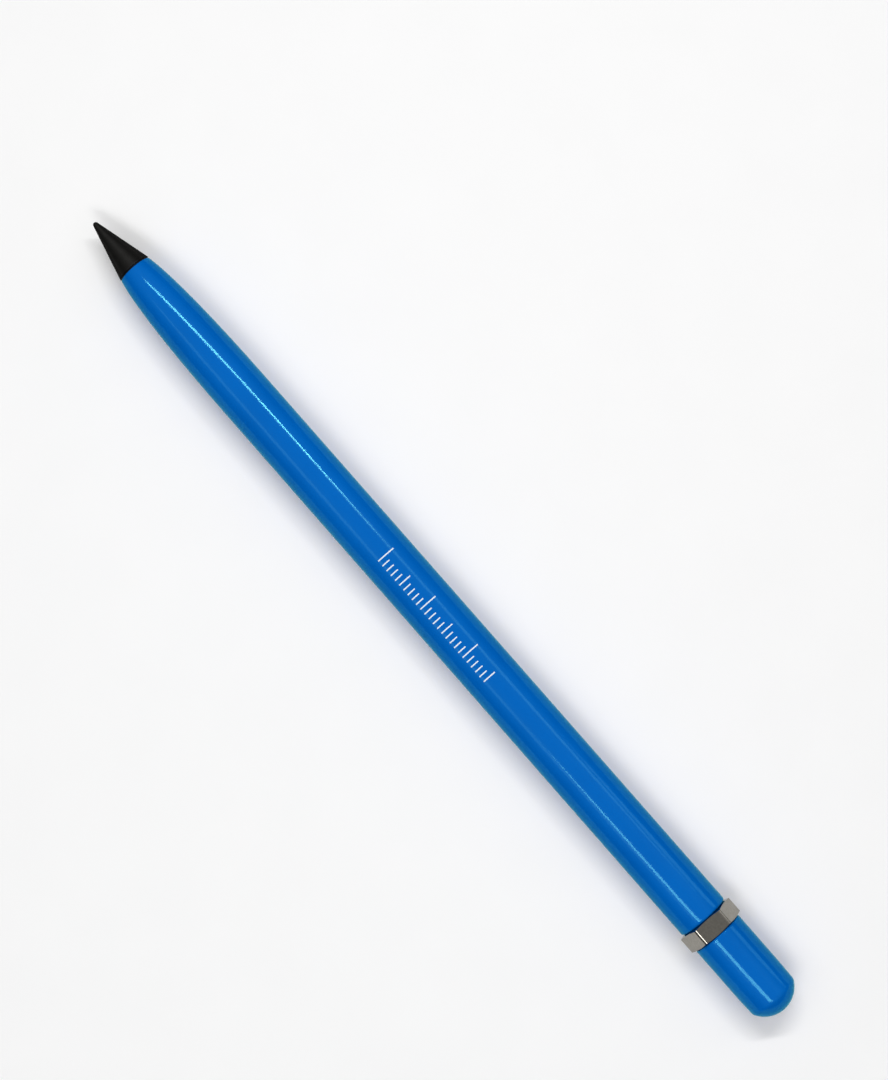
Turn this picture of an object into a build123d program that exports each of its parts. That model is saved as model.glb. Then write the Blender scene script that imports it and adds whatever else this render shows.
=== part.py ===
from build123d import *
from math import asin, atan2, cos, radians, sin, sqrt, tan
import os

# Inkless metal pencil, lying along X with its tip towards -X and its cap towards +X.
# Z is up, the six-sided ring stands on one of its flats at Z = 0,
# and X = 0 is half way between the tip and the domed end. All sizes are in millimetres.

# Nib: a hard writing cone with a rounded tip, on a thin washer
nib_length = 9.85
nib_base_radius = 2.9
nib_tip_radius = 0.45
nib_socket_depth = 3.6
nib_washer_thickness = 0.3
nib_washer_inset = 0.12

# Barrel: a tube whose front end is drawn in to the nib's base
barrel_length = 136.1
barrel_radius = 4.35
barrel_wall = 1.0
nose_length = 25.9
nose_mouth_pull = 5.6
nose_shoulder_pull = 6.6
nose_fullness = 0.85
nose_mouth_wall = 0.7
nose_bore_depth = 10.0
barrel_mouth_round = 0.1
barrel_tail_round = 0.45

# Nib thread: a stem on the nib, screwed into a flanged bush in the barrel's nose
nib_thread_pitch = 0.6
nib_thread_turns = 9
nib_head_step = 0.2
nose_bush_wall = 0.42
nose_bush_recess = 0.4
nose_bush_flange = 1.2

# Ring: six-sided, so that the pencil does not roll
ring_sides = 6
ring_length = 3.1
ring_proud = 0.05
ring_corner_round = 0.65
ring_bevel_depth = 0.37
ring_bevel_angle = 15
ring_wall = 1.5

# Cap: a blind cup with a slightly narrowed side and a domed end
cap_length = 15.7
cap_straight_length = 8.0
cap_end_radius = 4.25
cap_dome_height = 2.6
cap_edge_round = 1.4
cap_wall = 1.0
cap_bore_depth = 12.5
cap_front_round = 0.3

# Cap thread: a stud glued in the cap, screwed into a bush in the barrel's tail
cap_thread_pitch = 0.8
cap_thread_turns = 9
cap_shank_step = 0.35
cap_head_length = 8.0
cap_head_recess = 0.2
tail_bush_length = 9.5
tail_bush_recess = 0.4

# Screw threads: flanks at 30 degrees to the radius, crests an eighth of a pitch wide
flank_angle = 30
crest_share = 1 / 8
ridge_depth_share = 0.61
bush_depth_share = 0.42
thread_sink = 0.05
thread_end_length = 0.5
thread_end_bevel = 0.3
groove_overrun_turns = 1

# Clearances
glue_gap = 0.03
thread_gap = 0.05
slip_gap = 0.06
socket_end_gap = 0.2

# Places along the pencil
overall_length = nib_length + nib_washer_thickness + barrel_length + ring_length + cap_length
tip_x = -overall_length / 2
nib_base_x = tip_x + nib_length
mouth_x = nib_base_x + nib_washer_thickness
nose_bush_x = mouth_x + nose_bush_recess
nose_step_x = mouth_x + nose_bore_depth
shoulder_x = mouth_x + nose_length
tail_x = mouth_x + barrel_length
tail_bush_x = tail_x - tail_bush_recess
ring_rear_x = tail_x + ring_length
end_x = ring_rear_x + cap_length

# Radii that follow from the sizes above
axis_height = barrel_radius + ring_proud
barrel_bore_radius = barrel_radius - barrel_wall
nose_bore_radius = nib_base_radius - nose_mouth_wall
nose_bush_radius = nose_bore_radius - glue_gap
nib_thread_radius = nose_bush_radius - nose_bush_wall
nib_core_radius = nib_thread_radius - ridge_depth_share * nib_thread_pitch
nib_head_radius = nib_core_radius - nib_head_step
nose_hole_radius = nib_thread_radius - bush_depth_share * nib_thread_pitch
ring_bore_radius = axis_height - ring_wall
cap_shank_radius = ring_bore_radius - slip_gap
cap_thread_radius = cap_shank_radius - cap_shank_step
cap_core_radius = cap_thread_radius - ridge_depth_share * cap_thread_pitch
tail_hole_radius = cap_thread_radius - bush_depth_share * cap_thread_pitch
cap_bore_radius = barrel_radius - cap_wall

pencil_axis = Axis((0, 0, axis_height), (1, 0, 0))
half_section = Plane(origin=(0, 0, axis_height), x_dir=(1, 0, 0), z_dir=(0, -1, 0))


def thread_ridge(crest_radius, root_radius, pitch, start_x, turns, gap=0):
    """A right-handed screw ridge round the pencil's axis, from below its root out to its crest.

    The gap makes the ridge wider and higher all round, which turns it into the groove that
    a ridge of the same screw runs in. The path is made of single turns, each one an edge.
    """
    top = crest_radius + gap
    bottom = root_radius - thread_sink
    half_crest = crest_share * pitch / 2 + gap
    half_bottom = half_crest + (top - bottom) * tan(radians(flank_angle))
    with BuildPart() as ridge:
        with BuildLine() as path:
            for turn in range(turns):
                turn_start = (start_x + turn * pitch, 0, axis_height)
                Helix(pitch, pitch, root_radius, center=turn_start, direction=(1, 0, 0))
        start = Vector(start_x, 0, axis_height)
        outward = (path.line @ 0 - start).normalized()
        across = outward.cross(Vector(1, 0, 0))
        with BuildSketch(Plane(origin=start, x_dir=outward, z_dir=across)):
            with BuildLine():
                Polyline(
                    (bottom, -half_bottom),
                    (top, -half_crest),
                    (top, half_crest),
                    (bottom, half_bottom),
                    close=True,
                )
            make_face()
        sweep(path=path.line, is_frenet=True)
    return ridge.part


def rim_edges(builder, place):
    """The full circles of a turned piece that lie furthest forward (0) or back (-1), narrowest first."""
    circles = builder.edges().filter_by(GeomType.CIRCLE).filter_by(lambda edge: edge.is_closed)
    return circles.group_by(Axis.X)[place].sort_by(SortBy.RADIUS)


# Nib tip: a cone tangent to its rounded tip, with a blind socket in its base
tip_to_base = nib_length - nib_tip_radius
nib_half_angle = atan2(nib_base_radius, tip_to_base) - asin(
    nib_tip_radius / sqrt(tip_to_base**2 + nib_base_radius**2)
)
tip_edge_x = tip_x + nib_tip_radius * (1 - sin(nib_half_angle))
tip_edge_radius = nib_tip_radius * cos(nib_half_angle)
nib_socket_radius = nib_head_radius + glue_gap
nib_socket_x = nib_base_x - nib_socket_depth

with BuildPart() as nib_tip:
    with BuildSketch(half_section):
        with BuildLine():
            TangentArc((tip_x, 0), (tip_edge_x, tip_edge_radius), tangent=(0, 1))
            Polyline(
                (tip_edge_x, tip_edge_radius),
                (nib_base_x, nib_base_radius),
                (nib_base_x, nib_socket_radius),
                (nib_socket_x, nib_socket_radius),
                (nib_socket_x, 0),
                (tip_x, 0),
            )
        make_face()
    revolve(axis=pencil_axis)

# Nib stud: a plain head bonded in the nib's socket, and a threaded stem behind it
nib_thread_end_x = nose_bush_x + nib_thread_turns * nib_thread_pitch
nib_stud_end_x = nib_thread_end_x + thread_end_length
nib_ridge = thread_ridge(
    nib_thread_radius, nib_core_radius, nib_thread_pitch, nose_bush_x, nib_thread_turns
)

with BuildPart() as nib_stud:
    with BuildSketch(half_section):
        with BuildLine():
            Polyline(
                (nib_socket_x + socket_end_gap, 0),
                (nib_socket_x + socket_end_gap, nib_head_radius),
                (nib_base_x, nib_head_radius),
                (nib_base_x, nib_core_radius),
                (nib_stud_end_x, nib_core_radius),
                (nib_stud_end_x, 0),
                close=True,
            )
        make_face()
    revolve(axis=pencil_axis)
    chamfer(rim_edges(nib_stud, -1), thread_end_bevel)
    add(nib_ridge)

# Nib washer: a thin flat ring that the nib is tightened against
with BuildPart() as nib_washer:
    with BuildSketch(Plane.YZ.offset(nib_base_x)):
        with Locations((0, axis_height)):
            Circle(nib_base_radius - nib_washer_inset)
            Circle(nib_thread_radius + slip_gap, mode=Mode.SUBTRACT)
    extrude(amount=nib_washer_thickness)

# Nose bush: pushed in from the tail until its flange meets the step in the barrel's bore
nose_flange_x = nose_step_x + nose_bush_flange
nose_groove = thread_ridge(
    nib_thread_radius,
    nose_hole_radius,
    nib_thread_pitch,
    nose_bush_x - groove_overrun_turns * nib_thread_pitch,
    nib_thread_turns + 2 * groove_overrun_turns,
    gap=thread_gap,
)

with BuildPart() as nose_bush:
    with BuildSketch(half_section):
        with BuildLine():
            Polyline(
                (nose_bush_x, nose_hole_radius),
                (nose_bush_x, nose_bush_radius),
                (nose_step_x, nose_bush_radius),
                (nose_step_x, barrel_bore_radius - glue_gap),
                (nose_flange_x, barrel_bore_radius - glue_gap),
                (nose_flange_x, nose_hole_radius),
                close=True,
            )
        make_face()
    revolve(axis=pencil_axis)
    add(nose_groove, mode=Mode.SUBTRACT)

# Barrel: the nose is one smooth curve from the mouth to the straight side
mouth_tangent_radius = nib_base_radius + nose_fullness * (barrel_radius - nib_base_radius)

with BuildPart() as barrel:
    with BuildSketch(half_section):
        with BuildLine():
            Bezier(
                (mouth_x, nib_base_radius),
                (mouth_x + nose_mouth_pull, mouth_tangent_radius),
                (shoulder_x - nose_shoulder_pull, barrel_radius),
                (shoulder_x, barrel_radius),
            )
            Polyline(
                (shoulder_x, barrel_radius),
                (tail_x, barrel_radius),
                (tail_x, barrel_bore_radius),
                (nose_step_x, barrel_bore_radius),
                (nose_step_x, nose_bore_radius),
                (mouth_x, nose_bore_radius),
                (mouth_x, nib_base_radius),
            )
        make_face()
    revolve(axis=pencil_axis)
    fillet(rim_edges(barrel, 0)[-1], barrel_mouth_round)
    fillet(rim_edges(barrel, -1)[-1], barrel_tail_round)

# Tail bush: a threaded sleeve glued just inside the barrel's tail
tail_bush_end_x = tail_bush_x - tail_bush_length
cap_thread_end_x = tail_bush_x - cap_thread_turns * cap_thread_pitch
tail_groove = thread_ridge(
    cap_thread_radius,
    tail_hole_radius,
    cap_thread_pitch,
    cap_thread_end_x - groove_overrun_turns * cap_thread_pitch,
    cap_thread_turns + 2 * groove_overrun_turns,
    gap=thread_gap,
)

with BuildPart() as tail_bush:
    with BuildSketch(half_section):
        with BuildLine():
            Polyline(
                (tail_bush_end_x, tail_hole_radius),
                (tail_bush_end_x, barrel_bore_radius - glue_gap),
                (tail_bush_x, barrel_bore_radius - glue_gap),
                (tail_bush_x, tail_hole_radius),
                close=True,
            )
        make_face()
    revolve(axis=pencil_axis)
    add(tail_groove, mode=Mode.SUBTRACT)

# Hex ring: flats up and down, corners rounded, held between the barrel and the cap.
# Its ends are turned to shallow cones, which cut the corners more than the flats
ring_bevel_radius = axis_height - ring_bevel_depth
ring_corner_radius = axis_height / cos(radians(180 / ring_sides))
ring_bevel_length = (ring_corner_radius - ring_bevel_radius) * tan(radians(ring_bevel_angle))

with BuildPart() as hex_ring:
    with BuildSketch(Plane.YZ.offset(tail_x)):
        with Locations((0, axis_height)):
            RegularPolygon(axis_height, ring_sides, major_radius=False)
            Circle(ring_bore_radius, mode=Mode.SUBTRACT)
    extrude(amount=ring_length)
    fillet(hex_ring.edges().filter_by(GeomType.LINE).filter_by(Axis.X), ring_corner_round)
    with BuildSketch(half_section):
        with BuildLine():
            Polyline(
                (tail_x, 0),
                (tail_x, ring_bevel_radius),
                (tail_x + ring_bevel_length, ring_corner_radius),
                (ring_rear_x - ring_bevel_length, ring_corner_radius),
                (ring_rear_x, ring_bevel_radius),
                (ring_rear_x, 0),
                close=True,
            )
        make_face()
    revolve(axis=pencil_axis, mode=Mode.INTERSECT)

# Cap stud: a head glued in the cap, a shank that carries the ring, and a threaded stem
cap_stud_end_x = cap_thread_end_x - thread_end_length
cap_head_x = ring_rear_x + cap_head_recess
cap_ridge = thread_ridge(
    cap_thread_radius, cap_core_radius, cap_thread_pitch, cap_thread_end_x, cap_thread_turns
)

with BuildPart() as cap_stud:
    with BuildSketch(half_section):
        with BuildLine():
            Polyline(
                (cap_stud_end_x, 0),
                (cap_stud_end_x, cap_core_radius),
                (tail_x, cap_core_radius),
                (tail_x, cap_shank_radius),
                (cap_head_x, cap_shank_radius),
                (cap_head_x, cap_bore_radius - glue_gap),
                (cap_head_x + cap_head_length, cap_bore_radius - glue_gap),
                (cap_head_x + cap_head_length, 0),
                close=True,
            )
        make_face()
    revolve(axis=pencil_axis)
    chamfer(rim_edges(cap_stud, 0), thread_end_bevel)
    add(cap_ridge)

# End cap: straight at first, narrowing slightly along a long arc, then a shallow dome
dome_x = end_x - cap_dome_height
cap_narrow_x = ring_rear_x + cap_straight_length
cap_floor_x = ring_rear_x + cap_bore_depth

with BuildPart() as end_cap:
    with BuildSketch(half_section):
        with BuildLine():
            Line((ring_rear_x, barrel_radius), (cap_narrow_x, barrel_radius))
            TangentArc((cap_narrow_x, barrel_radius), (dome_x, cap_end_radius), tangent=(1, 0))
            TangentArc((end_x, 0), (dome_x, cap_end_radius), tangent=(0, 1))
            Polyline(
                (end_x, 0),
                (cap_floor_x, 0),
                (cap_floor_x, cap_bore_radius),
                (ring_rear_x, cap_bore_radius),
                (ring_rear_x, barrel_radius),
            )
        make_face()
    revolve(axis=pencil_axis)
    fillet(rim_edges(end_cap, -1)[-1], cap_edge_round)
    fillet(rim_edges(end_cap, 0)[-1], cap_front_round)

# Each piece under its own name
os.makedirs("parts", exist_ok=True)
pieces = {
    "nib_tip": nib_tip,
    "nib_stud": nib_stud,
    "nib_washer": nib_washer,
    "nose_bush": nose_bush,
    "barrel": barrel,
    "tail_bush": tail_bush,
    "hex_ring": hex_ring,
    "cap_stud": cap_stud,
    "end_cap": end_cap,
}
for name, piece in pieces.items():
    piece.part.label = name
    export_step(piece.part, f"parts/{name}.step")
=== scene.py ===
from math import asin, atan2, cos, pi, radians, sqrt, tan

import bpy
import numpy as np
from mathutils import Matrix, Vector


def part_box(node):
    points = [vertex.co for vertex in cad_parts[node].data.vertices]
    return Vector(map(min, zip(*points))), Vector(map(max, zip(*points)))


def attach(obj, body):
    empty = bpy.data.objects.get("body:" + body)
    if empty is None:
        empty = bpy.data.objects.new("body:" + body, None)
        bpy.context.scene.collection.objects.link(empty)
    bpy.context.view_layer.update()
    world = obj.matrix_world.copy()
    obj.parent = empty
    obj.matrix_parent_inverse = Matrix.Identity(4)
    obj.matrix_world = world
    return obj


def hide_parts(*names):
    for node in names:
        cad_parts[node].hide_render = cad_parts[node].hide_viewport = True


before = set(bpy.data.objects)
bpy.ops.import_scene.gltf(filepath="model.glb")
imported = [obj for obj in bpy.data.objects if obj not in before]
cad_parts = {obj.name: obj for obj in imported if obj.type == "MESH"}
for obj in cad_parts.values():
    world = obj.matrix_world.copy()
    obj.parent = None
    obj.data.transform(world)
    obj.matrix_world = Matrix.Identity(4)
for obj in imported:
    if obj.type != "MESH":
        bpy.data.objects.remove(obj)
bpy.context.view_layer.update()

# Sizes are millimetres times mm, because Blender's unit is the metre
mm = 0.001

# Places along the pencil, from the frame: the tip points to -X, the cap to +X
tip_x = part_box("nib_tip")[0].x
nib_base_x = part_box("nib_tip")[1].x
mouth_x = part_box("barrel")[0].x
tail_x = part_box("barrel")[1].x
ring_rear_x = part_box("hex_ring")[1].x
end_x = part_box("end_cap")[1].x

# Radii, from the frame, about the pencil's axis
axis_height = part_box("hex_ring")[1].z / 2
barrel_radius = (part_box("barrel")[1].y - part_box("barrel")[0].y) / 2
nib_base_radius = (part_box("nib_tip")[1].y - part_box("nib_tip")[0].y) / 2
washer_radius = (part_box("nib_washer")[1].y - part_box("nib_washer")[0].y) / 2
bush_radius = (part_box("tail_bush")[1].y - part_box("tail_bush")[0].y) / 2
nib_thread_radius = (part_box("nib_stud")[1].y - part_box("nib_stud")[0].y) / 2

# Nib: a cone with a rounded tip and a blind socket for its stud
nib_tip_radius = 0.45 * mm
nib_socket_radius = 1.214 * mm
nib_socket_depth = 3.6 * mm
nib_edge_round = 0.06 * mm
nib_turning_gap = 0.01 * mm
washer_bore_gap = 0.06 * mm
washer_edge_round = 0.05 * mm

# Barrel: a tube with a drawn-in nose
nose_length = 25.9 * mm
nose_mouth_pull = 5.6 * mm
nose_shoulder_pull = 6.6 * mm
nose_fullness = 0.85
nose_mouth_wall = 0.7 * mm
nose_bore_depth = 10 * mm
barrel_mouth_round = 0.1 * mm
barrel_tail_round = 0.45 * mm
glue_gap = 0.03 * mm

# Ring: six-sided, with rounded corners and ends turned to shallow cones
ring_sides = 6
ring_wall = 1.5 * mm
ring_corner_round = 0.65 * mm
ring_bevel_depth = 0.37 * mm
ring_bevel_angle = 15

# Cap: a blind cup, slightly narrowed, with a shallow dome
cap_straight_length = 8 * mm
cap_end_radius = 4.25 * mm
cap_dome_height = 2.6 * mm
cap_edge_round = 1.4 * mm
cap_front_round = 0.3 * mm
cap_bore_depth = 12.5 * mm

# Printed scale on the barrel: upright strokes, taller at every fifth and every tenth
scale_length = 25 * mm
scale_step = 1 * mm
scale_middle_x = 1 * mm
scale_stroke_width = 0.2 * mm
scale_stroke_heights = {1: 1.5 * mm, 5: 2.3 * mm, 10: 3.2 * mm}
scale_foot = -1.6 * mm
ink_height = 0.012 * mm
ink_sink = 0.02 * mm

# Fineness of the surfaces, and the turn in degrees past which an edge stays sharp
columns = 224
arc_points = 24
run_points = 48
stroke_points = 12
sharp_turn = 12


def run(start, end, count=2):
    """Points on a straight line between two (x, radius) points."""
    return np.linspace(start, end, count)


def arc(centre, radius, start, end, count=arc_points):
    """Points on a circle about centre, between two angles in radians from the +X direction."""
    angles = np.linspace(start, end, count)
    return np.asarray(centre) + radius * np.stack([np.cos(angles), np.sin(angles)], axis=1)


def bezier(points, count):
    """Points on the cubic curve through the first and last of four points, drawn by the other two."""
    share = np.linspace(0, 1, count)[:, None]
    first, second, third, fourth = np.asarray(points)
    rest = 1 - share
    pulled = 3 * rest**2 * share * second + 3 * rest * share**2 * third
    return rest**3 * first + pulled + share**3 * fourth


def joined(first, second, radius=0.0):
    """Two runs that meet at a corner, joined by an arc that touches the tangents of both.

    Each tangent is cut back by radius times the tangent of half the turn, and the points
    of the runs that lie nearer to the corner than that are dropped.
    """
    corner = second[0]
    into = corner - first[-2]
    away = second[1] - corner
    into = into / np.linalg.norm(into)
    away = away / np.linalg.norm(away)
    turn = atan2(into[0] * away[1] - into[1] * away[0], into @ away)
    cut = radius * tan(abs(turn) / 2)
    side = np.array([-into[1], into[0]]) * np.sign(turn)
    centre = corner - cut * into + radius * side
    start = atan2(*(-side)[::-1])
    bend = arc(centre, radius, start, start + turn, arc_points // 2)
    before = first[:-1][np.linalg.norm(first[:-1] - corner, axis=1) > cut]
    after = second[1:][np.linalg.norm(second[1:] - corner, axis=1) > cut]
    return np.concatenate([before, bend if radius else corner[None], after])


def make_piece(name, vertices, faces, materials, face_material=None):
    """A mesh object from arrays, smooth over gentle turns and sharp over the rest."""
    mesh = bpy.data.meshes.new(name)
    mesh.from_pydata(vertices.tolist(), [], faces)
    for material in materials:
        mesh.materials.append(material)
    if face_material is not None:
        mesh.polygons.foreach_set("material_index", face_material)
    mesh.shade_smooth()
    mesh.set_sharp_from_angle(angle=radians(sharp_turn))
    mesh.update()
    piece = bpy.data.objects.new(name, mesh)
    bpy.context.scene.collection.objects.link(piece)
    return piece


def grid_faces(rows, around, closed):
    """Quads between neighbouring rows of points, each row running all the way round.

    The points are numbered row by row, and closed joins the last row to the first.
    """
    row = np.arange(rows if closed else rows - 1)[:, None]
    column = np.arange(around)[None, :]
    next_row = (row + 1) % rows
    next_column = (column + 1) % around
    corners = [row * around + column, next_row * around + column]
    corners += [next_row * around + next_column, row * around + next_column]
    return np.stack(corners, axis=-1).reshape(-1, 4)


def turned(name, outline, materials, bare_rows=(0, 0)):
    """A surface of revolution about the pencil's axis.

    A point of the outline at (x, r) goes round to (x, r sin a, axis height + r cos a). An outline that
    starts and ends on the axis is closed by fans at both poles, and any other is a closed loop.
    Rows of faces from the first of bare_rows up to the second take the second material.
    """
    poles = outline[0, 1] == 0
    rings = outline[1:-1] if poles else outline
    angle = np.arange(columns) * 2 * pi / columns
    x = np.repeat(rings[:, :1], columns, axis=1)
    y = rings[:, 1:] * np.sin(angle)
    z = axis_height + rings[:, 1:] * np.cos(angle)
    vertices = np.stack([x, y, z], axis=-1).reshape(-1, 3)
    quads = grid_faces(len(rings), columns, closed=not poles)
    faces = quads.tolist()
    row_of_face = np.repeat(np.arange(len(quads) // columns), columns)
    if poles:
        column = np.arange(columns)
        next_column = (column + 1) % columns
        last_ring = len(vertices) - columns
        first_pole = np.full(columns, len(vertices))
        last_pole = first_pole + 1
        ends = [[outline[0, 0], 0, axis_height], [outline[-1, 0], 0, axis_height]]
        vertices = np.concatenate([vertices, ends])
        faces += np.stack([first_pole, column, next_column], axis=1).tolist()
        faces += np.stack([last_ring + column, last_pole, last_ring + next_column], axis=1).tolist()
        row_of_face = np.concatenate([row_of_face, np.zeros(columns, int), np.full(columns, len(rings))])
    first_bare, after_bare = bare_rows
    bare = (row_of_face >= first_bare) & (row_of_face < after_bare)
    return make_piece(name, vertices, faces, materials, bare.astype(np.int32))


def linear(hex_colour):
    """A colour written as sRGB hex, as the linear values that the shaders take."""
    share = np.array([int(hex_colour[i:i + 2], 16) for i in (1, 3, 5)]) / 255
    values = np.where(share <= 0.04045, share / 12.92, ((share + 0.055) / 1.055) ** 2.4)
    return (*values.tolist(), 1.0)


def add_node(tree, kind, inputs=None, **settings):
    """A node with its settings; an input is a value or the output socket that it is linked from."""
    made = tree.nodes.new(kind)
    for name, value in settings.items():
        setattr(made, name, value)
    for name, value in (inputs or {}).items():
        if isinstance(value, bpy.types.NodeSocket):
            tree.links.new(value, made.inputs[name])
        else:
            made.inputs[name].default_value = value
    return made


def new_material(name):
    """An empty node material, with its tree and its Object coordinates."""
    material = bpy.data.materials.new(name)
    material.use_nodes = True
    tree = material.node_tree
    tree.nodes.clear()
    place = add_node(tree, "ShaderNodeTexCoord").outputs["Object"]
    return material, tree, place


def clouded(tree, place, patch_size, detail, colours):
    """A colour that wavers between two, in soft patches of one size."""
    patches = {"Vector": place, "Scale": 1 / patch_size, "Detail": detail}
    cloud = add_node(tree, "ShaderNodeTexNoise", patches).outputs["Fac"]
    first, second = colours
    tints = {"Factor": cloud, "A": linear(first), "B": linear(second)}
    return add_node(tree, "ShaderNodeMix", tints, data_type="RGBA").outputs["Result"]


def gloss_lacquer():
    """Stoved blue lacquer on aluminium: deep even colour under a wet gloss.

    The eye gets thin mirror lines that wander a little over the orange peel, and a faint unevenness
    in the depth of the blue. A stained clear layer lies over both: it turns the mirror lines cyan,
    and at the sides, where the eye looks through more of it, it keeps them dark instead of milky.
    """
    peel_size = 2.4 * mm
    peel_depth = 0.007 * mm
    material, tree, place = new_material("stoved_blue_lacquer")
    blue = clouded(tree, place, patch_size=9 * mm, detail=3.0, colours=("#0067C8", "#0070D4"))
    peel = add_node(tree, "ShaderNodeTexNoise", {"Vector": place, "Scale": 1 / peel_size, "Detail": 0.0})
    bump = add_node(
        tree, "ShaderNodeBump", {"Height": peel.outputs["Fac"], "Strength": 1.0, "Distance": peel_depth}
    )
    shader = add_node(
        tree, "ShaderNodeBsdfPrincipled",
        {
            "Base Color": blue, "Roughness": 0.09, "IOR": 1.42, "Normal": bump.outputs["Normal"],
            "Coat Weight": 1.0, "Coat Roughness": 0.09, "Coat IOR": 1.05,
            "Coat Tint": linear("#7BEDED"), "Coat Normal": bump.outputs["Normal"],
        },
    )
    add_node(tree, "ShaderNodeOutputMaterial", {"Surface": shader.outputs["BSDF"]})
    return material


def graphite_composite():
    """Pressed graphite composite, turned to a cone: charcoal with a dull silky sheen.

    The eye gets a soft pale band along the top, dark sides, because the sheen is mostly a metal's and
    fades at the edge, fine rings from turning and small dark grains. The rings are drawn coarser than
    real ones, so that they show.
    """
    ring_spacing = 1.885 * mm
    ring_depth = 0.01 * mm
    # The wave texture turns by this many radians over a metre at a scale of 1
    wave_rate = 20
    material, tree, place = new_material("turned_graphite_composite")
    grey = clouded(tree, place, patch_size=0.35 * mm, detail=4.0, colours=("#282827", "#2F2E2D"))
    rings = add_node(
        tree, "ShaderNodeTexWave",
        {"Vector": place, "Scale": 2 * pi / (wave_rate * ring_spacing), "Distortion": 1.5},
        bands_direction="X",
    )
    bump = add_node(
        tree, "ShaderNodeBump", {"Height": rings.outputs["Fac"], "Strength": 0.5, "Distance": ring_depth}
    )
    shader = add_node(
        tree, "ShaderNodeBsdfPrincipled",
        {
            "Base Color": grey, "Metallic": 0.88, "Roughness": 0.4,
            "Specular Tint": linear("#303030"), "Normal": bump.outputs["Normal"],
        },
    )
    add_node(tree, "ShaderNodeOutputMaterial", {"Surface": shader.outputs["BSDF"]})
    return material


def black_nylon():
    """Punched black nylon sheet: near black, with a soft moulded grain that breaks up its sheen."""
    material, tree, place = new_material("punched_black_nylon")
    black = clouded(tree, place, patch_size=0.2 * mm, detail=2.0, colours=("#040405", "#0A0A0C"))
    shader = add_node(
        tree, "ShaderNodeBsdfPrincipled",
        {"Base Color": black, "Roughness": 0.6, "Specular IOR Level": 0.1},
    )
    add_node(tree, "ShaderNodeOutputMaterial", {"Surface": shader.outputs["BSDF"]})
    return material


def worked_metal(name, dark, pale, roughness, grain_size, grain_depth):
    """A bare or plated metal with a fine uneven grain.

    One cloud, with patches of the grain's size, mixes two near tints and raises a slight bump.
    """
    material, tree, place = new_material(name)
    patches = {"Vector": place, "Scale": 1 / grain_size, "Detail": 5.0}
    grain = add_node(tree, "ShaderNodeTexNoise", patches).outputs["Fac"]
    tints = {"Factor": grain, "A": linear(dark), "B": linear(pale)}
    tint = add_node(tree, "ShaderNodeMix", tints, data_type="RGBA")
    bump = add_node(tree, "ShaderNodeBump", {"Height": grain, "Strength": 1.0, "Distance": grain_depth})
    shader = add_node(
        tree, "ShaderNodeBsdfPrincipled",
        {
            "Base Color": tint.outputs["Result"], "Metallic": 1.0, "Roughness": roughness,
            "Normal": bump.outputs["Normal"],
        },
    )
    add_node(tree, "ShaderNodeOutputMaterial", {"Surface": shader.outputs["BSDF"]})
    return material


def printing_ink():
    """Pad-printed white ink: a thin matt film, a little uneven in cover."""
    material, tree, place = new_material("pad_printed_white_ink")
    white = clouded(tree, place, patch_size=0.4 * mm, detail=3.0, colours=("#D5E6F5", "#F6FAFD"))
    shader = add_node(
        tree, "ShaderNodeBsdfPrincipled", {"Base Color": white, "Roughness": 0.45, "IOR": 1.5}
    )
    add_node(tree, "ShaderNodeOutputMaterial", {"Surface": shader.outputs["BSDF"]})
    return material


def pale_paper():
    """Smooth white paper under the pencil: matt, with a very faint mottle."""
    material, tree, place = new_material("white_paper")
    white = clouded(tree, place, patch_size=12 * mm, detail=2.0, colours=("#FAFAFA", "#FDFDFD"))
    shader = add_node(
        tree, "ShaderNodeBsdfPrincipled",
        {"Base Color": white, "Roughness": 0.9, "Specular IOR Level": 0.2},
    )
    add_node(tree, "ShaderNodeOutputMaterial", {"Surface": shader.outputs["BSDF"]})
    return material


blue_lacquer = gloss_lacquer()
graphite = graphite_composite()
nylon = black_nylon()
ink = printing_ink()
# Bright nickel plating on a milled ring: a warm grey mirror, faintly clouded and blurred by fine milling
nickel = worked_metal(
    "plated_nickel", "#7B7870", "#A09C94", roughness=0.12, grain_size=0.4 * mm, grain_depth=0.0008 * mm
)
# Turned brass: warm yellow with a satin blur
brass = worked_metal(
    "turned_brass", "#B3935A", "#C7A76C", roughness=0.3, grain_size=0.15 * mm, grain_depth=0.001 * mm
)
# Bare drawn aluminium inside the tube and the cup: pale grey and dull
aluminium = worked_metal(
    "drawn_aluminium", "#A6A8AA", "#B9BBBD", roughness=0.42, grain_size=0.2 * mm, grain_depth=0.002 * mm
)


def nib_outline():
    """The nib's outline: a cone whose side touches the round of its tip.

    The cone's half angle is the angle between the axis and a line from the round's centre to the
    base's edge, less the angle whose sine is the round's radius over that line's length. The base
    keeps a hair's gap from the washer, so that the two faces don't rub when the nib turns.
    """
    base_x = nib_base_x - nib_turning_gap
    round_to_base = base_x - tip_x - nib_tip_radius
    half_angle = atan2(nib_base_radius, round_to_base)
    half_angle -= asin(nib_tip_radius / sqrt(round_to_base**2 + nib_base_radius**2))
    socket_x = base_x - nib_socket_depth
    tip = arc((tip_x + nib_tip_radius, 0), nib_tip_radius, pi, pi / 2 + half_angle)
    # Exactly on the axis, so that the surface closes in a pole
    tip[0, 1] = 0
    side = run(tip[-1], (base_x, nib_base_radius), run_points)
    base = run((base_x, nib_base_radius), (base_x, nib_socket_radius))
    socket = run((base_x, nib_socket_radius), (socket_x, nib_socket_radius))
    floor = run((socket_x, nib_socket_radius), (socket_x, 0))
    outline = joined(joined(tip, side), base, nib_edge_round)
    return joined(joined(outline, socket), floor)


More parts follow.
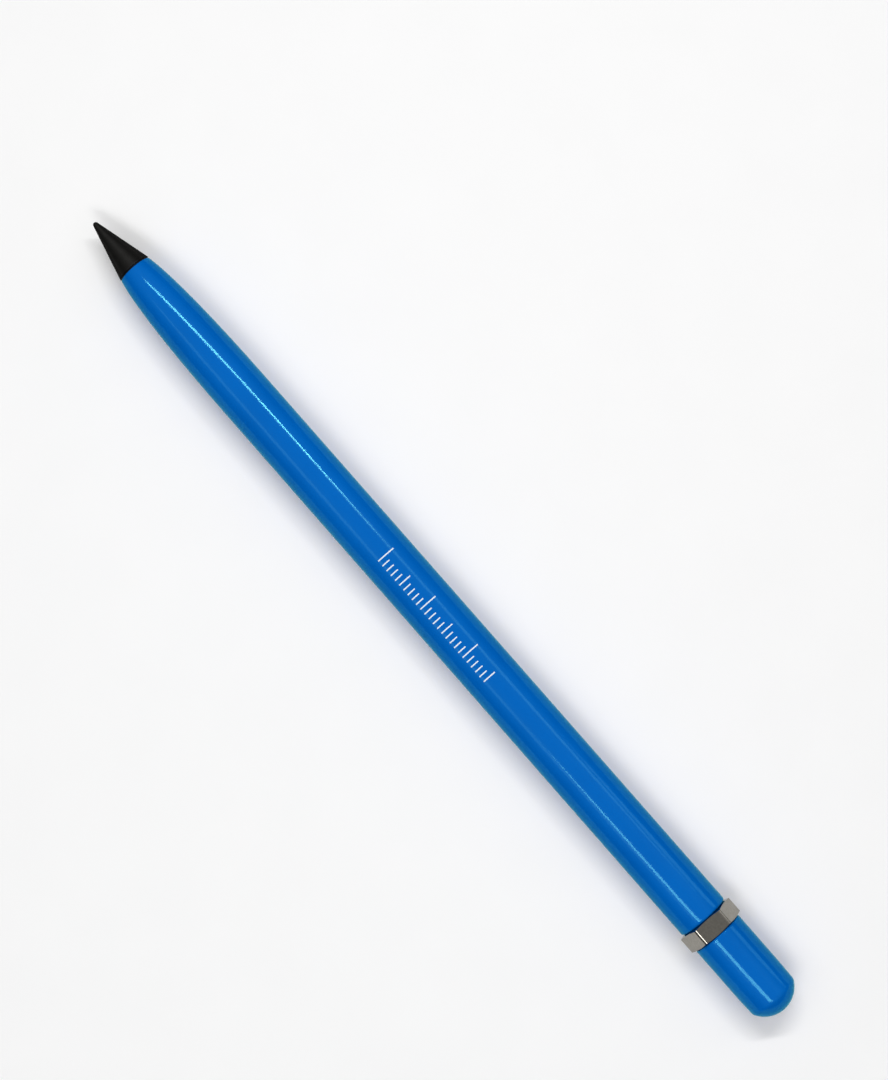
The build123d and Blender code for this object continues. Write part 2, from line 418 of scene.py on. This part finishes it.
def washer_outline():
    """A closed rectangle in (x, radius), from the washer's rim to its bore, with rounded corners."""
    bore_radius = nib_thread_radius + washer_bore_gap
    corners = [
        (nib_base_x, washer_radius), (mouth_x, washer_radius),
        (mouth_x, bore_radius), (nib_base_x, bore_radius),
    ]
    bends = []
    for place, corner in enumerate(corners):
        before = corners[place - 1]
        after = corners[(place + 1) % len(corners)]
        bends.append(joined(run(before, corner), run(corner, after), washer_edge_round)[1:-1])
    return np.concatenate(bends)


# Barrel outline: out over the mouth, along the nose and the side, in over the tail,
# and back through the bore, which has no lacquer
barrel_bore = bush_radius + glue_gap
nose_bore = nib_base_radius - nose_mouth_wall
shoulder_x = mouth_x + nose_length
nose_step_x = mouth_x + nose_bore_depth
mouth_edge = (mouth_x, nib_base_radius)
mouth_tangent_radius = nib_base_radius + nose_fullness * (barrel_radius - nib_base_radius)
nose_curve = bezier(
    [
        mouth_edge,
        (mouth_x + nose_mouth_pull, mouth_tangent_radius),
        (shoulder_x - nose_shoulder_pull, barrel_radius),
        (shoulder_x, barrel_radius),
    ],
    2 * run_points,
)
barrel_side = run((shoulder_x, barrel_radius), (tail_x, barrel_radius), run_points)
barrel_tail = run((tail_x, barrel_radius), (tail_x, barrel_bore))
barrel_outside = joined(run((mouth_x, nose_bore), mouth_edge), nose_curve, barrel_mouth_round)
barrel_outside = joined(joined(barrel_outside, barrel_side), barrel_tail, barrel_tail_round)
barrel_inside = np.array([(nose_step_x, barrel_bore), (nose_step_x, nose_bore)])
barrel_outline = np.concatenate([barrel_outside, barrel_inside])
barrel_bare_rows = (len(barrel_outside) - 1, len(barrel_outline))

# Cap outline: from the middle of its floor, out through the bore, round the front,
# along the side and over the dome. The floor, the bore and the front's flat have no lacquer
dome_x = end_x - cap_dome_height
dome_radius = (cap_end_radius**2 + cap_dome_height**2) / (2 * cap_dome_height)
narrow_x = ring_rear_x + cap_straight_length
narrowing = barrel_radius - cap_end_radius
narrow_radius = ((dome_x - narrow_x) ** 2 + narrowing**2) / (2 * narrowing)
narrow_angle = asin((dome_x - narrow_x) / narrow_radius)
cap_floor_x = ring_rear_x + cap_bore_depth
cap_bore = run((cap_floor_x, 0), (cap_floor_x, barrel_bore))
cap_bore = joined(cap_bore, run((cap_floor_x, barrel_bore), (ring_rear_x, barrel_bore)))
cap_front = run((ring_rear_x, barrel_bore), (ring_rear_x, barrel_radius))
cap_side = run((ring_rear_x, barrel_radius), (narrow_x, barrel_radius), run_points)
cap_narrowing = arc(
    (narrow_x, barrel_radius - narrow_radius), narrow_radius, pi / 2, pi / 2 - narrow_angle, run_points
)
cap_dome = arc((end_x - dome_radius, 0), dome_radius, asin(cap_end_radius / dome_radius), 0, run_points)
cap_outline = joined(joined(cap_bore, cap_front), cap_side, cap_front_round)
cap_outline = joined(joined(cap_outline, cap_narrowing), cap_dome, cap_edge_round)
cap_bare_rows = (0, len(cap_bore) - 1)


def ring_piece():
    """Six flats joined by arcs, carried along X, bored round, and turned to a shallow cone at each end.

    A cone starts on the ring's end, below the flats by the bevel's depth, and widens by the same angle
    all round. It reaches an outline point at radius r after (r - its own first radius) times the
    angle's tangent: early in the middle of a flat and late at a corner.
    """
    flat_directions = np.arange(ring_sides)[:, None] * 2 * pi / ring_sides
    half_step = pi / ring_sides
    to_arc_centre = (axis_height - ring_corner_round) / cos(half_step)
    centre = flat_directions + half_step
    turn = flat_directions + np.linspace(0, 2 * half_step, arc_points // 2)
    arcs = to_arc_centre * np.stack([np.sin(centre), np.cos(centre)], axis=-1)
    arcs = arcs + ring_corner_round * np.stack([np.sin(turn), np.cos(turn)], axis=-1)
    flat_share = (1 - np.cos(np.linspace(0, pi, arc_points)[1:-1])) / 2
    flat_start = arcs[:, -1:]
    flat_end = np.roll(arcs, -1, axis=0)[:, :1]
    flats = flat_start + flat_share[:, None] * (flat_end - flat_start)
    outline = np.concatenate([arcs, flats], axis=1).reshape(-1, 2)
    radius = np.linalg.norm(outline, axis=1, keepdims=True)
    bevel_radius = axis_height - ring_bevel_depth
    bevel_length = (radius - bevel_radius) * tan(radians(ring_bevel_angle))
    end_circle = outline / radius * bevel_radius
    bore = outline / radius * (axis_height - ring_wall)
    rows = [
        (tail_x, end_circle), (tail_x + bevel_length, outline),
        (ring_rear_x - bevel_length, outline), (ring_rear_x, end_circle),
        (ring_rear_x, bore), (tail_x, bore),
    ]
    loops = [np.column_stack([np.broadcast_to(x, radius.shape), points]) for x, points in rows]
    vertices = np.concatenate(loops) + (0, 0, axis_height)
    faces = grid_faces(len(loops), len(outline), closed=True).tolist()
    return make_piece("hex_ring_look", vertices, faces, [nickel])


def scale_piece():
    """Upright strokes of ink on the barrel: each is a flat bar bent round the barrel's side.

    A stroke's cross-section, a rectangle in (x, radius), is carried round the axis from the foot of
    the stroke to its head, and closed at both ends.
    """
    count = round(scale_length / scale_step) + 1
    number = np.arange(count)
    middle = scale_middle_x + (number - (count - 1) / 2) * scale_step
    height = np.zeros(count)
    for every, stroke_height in scale_stroke_heights.items():
        height[number % every == 0] = stroke_height
    half = scale_stroke_width / 2
    section = [(half, -ink_sink), (half, ink_height), (-half, ink_height), (-half, -ink_sink)]
    offset, lift = np.array(section).T
    share = np.linspace(0, 1, stroke_points)
    angle = (scale_foot + share[None, :] * height[:, None]) / barrel_radius
    radius = barrel_radius + lift
    x = (middle[:, None, None] + offset) * np.ones((1, stroke_points, 1))
    y = radius * np.sin(angle)[..., None]
    z = axis_height + radius * np.cos(angle)[..., None]
    vertices = np.stack([x, y, z], axis=-1).reshape(-1, 3)
    foot = np.arange(len(section))
    head = foot + (stroke_points - 1) * len(section)
    sides = grid_faces(stroke_points, len(section), closed=False)
    stroke = np.concatenate([sides, [foot, head[::-1]]])
    first_points = number * stroke_points * len(section)
    faces = (stroke[None] + first_points[:, None, None]).reshape(-1, len(section)).tolist()
    return make_piece("barrel_scale", vertices, faces, [ink])


# Pieces, each on the body that carries it
pieces = [
    (turned("nib_tip_look", nib_outline(), [graphite]), "nib", "nib_tip", "graphite"),
    (turned("nib_washer_look", washer_outline(), [nylon]), "washer", "nib_washer", "black_nylon"),
    (
        turned("barrel_look", barrel_outline, [blue_lacquer, aluminium], barrel_bare_rows),
        "barrel", "barrel", "blue_lacquer",
    ),
    (ring_piece(), "ring", "hex_ring", "nickel"),
    (
        turned("end_cap_look", cap_outline, [blue_lacquer, aluminium], cap_bare_rows),
        "cap", "end_cap", "blue_lacquer",
    ),
]
for piece, body, node, finish in pieces:
    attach(piece, body)
    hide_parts(node)
scale = scale_piece()
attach(scale, "barrel")

# The threaded pieces keep their own shapes and get a turned brass
for node in ("nib_stud", "nose_bush", "tail_bush", "cap_stud"):
    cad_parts[node].data.materials.clear()
    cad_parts[node].data.materials.append(brass)

# Floor
floor_half = 2000 * mm
floor_signs = [(-1, -1), (1, -1), (1, 1), (-1, 1)]
floor_corners = [(x_sign * floor_half, y_sign * floor_half, 0) for x_sign, y_sign in floor_signs]
floor_mesh = bpy.data.meshes.new("paper_floor")
floor_mesh.from_pydata(floor_corners, [], [(0, 1, 2, 3)])
floor_mesh.materials.append(pale_paper())
floor = bpy.data.objects.new("paper_floor", floor_mesh)
bpy.context.scene.collection.objects.link(floor)

# Surroundings: walls dark below and pale above, and a dimmer ceiling, by the height of a direction
dark_height = 0.35
pale_height = 0.85
overhead = 1.0
dark_level = 0.03
pale_level = 0.6
ceiling_level = 0.37
world = bpy.data.worlds.new("studio")
bpy.context.scene.world = world
world.use_nodes = True
sky = world.node_tree
sky.nodes.clear()
direction = add_node(sky, "ShaderNodeTexCoord").outputs["Generated"]
upward = add_node(sky, "ShaderNodeSeparateXYZ", {"Vector": direction}).outputs["Z"]
walls = add_node(
    sky, "ShaderNodeMapRange",
    {
        "Value": upward, "From Min": dark_height, "From Max": pale_height,
        "To Min": dark_level, "To Max": pale_level,
    },
)
ceiling = add_node(
    sky, "ShaderNodeMapRange",
    {
        "Value": upward, "From Min": pale_height, "From Max": overhead,
        "To Min": 1.0, "To Max": ceiling_level / pale_level,
    },
)
level = add_node(
    sky, "ShaderNodeMath",
    {0: walls.outputs["Result"], 1: ceiling.outputs["Result"]},
    operation="MULTIPLY",
)
background = add_node(
    sky, "ShaderNodeBackground", {"Color": linear("#FFFFFF"), "Strength": level.outputs["Value"]}
)
add_node(sky, "ShaderNodeOutputWorld", {"Surface": background.outputs["Background"]})


def strip_lamp(name, place, along, length, width, radiance):
    """A soft elliptical lamp that faces the middle of the pencil, its length in the direction along.

    Its power is its radiance times pi times the ellipse's area.
    """
    lamp = bpy.data.lights.new(name, "AREA")
    lamp.shape = "ELLIPSE"
    lamp.size = length
    lamp.size_y = width
    lamp.energy = radiance * pi * (pi * length * width / 4)
    back = (Vector(place) - Vector((0, 0, axis_height))).normalized()
    side = back.cross(Vector(along)).normalized()
    turn = Matrix((side.cross(back), side, back)).transposed()
    lamp_object = bpy.data.objects.new(name, lamp)
    lamp_object.matrix_world = Matrix.Translation(place) @ turn.to_4x4()
    bpy.context.scene.collection.objects.link(lamp_object)


# Lamps whose reflections draw the lines on the lacquer. The far strip gives the bright line on
# the nose, and its end and the far fill carry that line on towards the tail
lamp_height = 454 * mm
far_along = (0.537, 0.845, 0)
far_end_along = (0.737, 0.676, 0)
near_along = (0.829, 0.559, 0)
near_fill_along = (1, 0, 0)
window_along = (0.371, 0.929, 0)
strip_lamp(
    "far_strip", (-184 * mm, 155 * mm, lamp_height), far_along,
    length=385 * mm, width=38 * mm, radiance=27,
)
strip_lamp(
    "far_strip_end", (-92 * mm, 273 * mm, lamp_height), far_end_along,
    length=80 * mm, width=50 * mm, radiance=9,
)
strip_lamp(
    "far_fill", (12 * mm, 375 * mm, lamp_height), far_end_along,
    length=250 * mm, width=90 * mm, radiance=1.8,
)
# The near strip gives the line on the tail and the cap, and the near fill the broad one before it
strip_lamp(
    "near_strip", (185 * mm, -178 * mm, lamp_height), near_along,
    length=345 * mm, width=95 * mm, radiance=9.2,
)
strip_lamp(
    "near_fill", (-60 * mm, -350 * mm, lamp_height), near_fill_along,
    length=450 * mm, width=110 * mm, radiance=1.2,
)
# A window far to the side gives the tail and the cap a faint second line on the far side
strip_lamp(
    "far_window", (170 * mm, 855 * mm, lamp_height), window_along,
    length=380 * mm, width=150 * mm, radiance=1.6,
)

# Camera: the photograph's place and angle, with turns in degrees, for a frame of 888 by 1080 pixels
sensor_height = 36.0
lens_length = 88.188
camera_place = (18.755 * mm, -4.997 * mm, 421.144 * mm)
camera_turns = (3.9287, 0.9836, 48.7527)
camera_data = bpy.data.cameras.new("camera")
camera_data.sensor_fit = "VERTICAL"
camera_data.sensor_height = sensor_height
camera_data.lens = lens_length
camera = bpy.data.objects.new("camera", camera_data)
camera.location = camera_place
camera.rotation_euler = [radians(turn) for turn in camera_turns]
bpy.context.scene.collection.objects.link(camera)
bpy.context.scene.camera = camera
bpy.context.scene.view_settings.view_transform = "Standard"
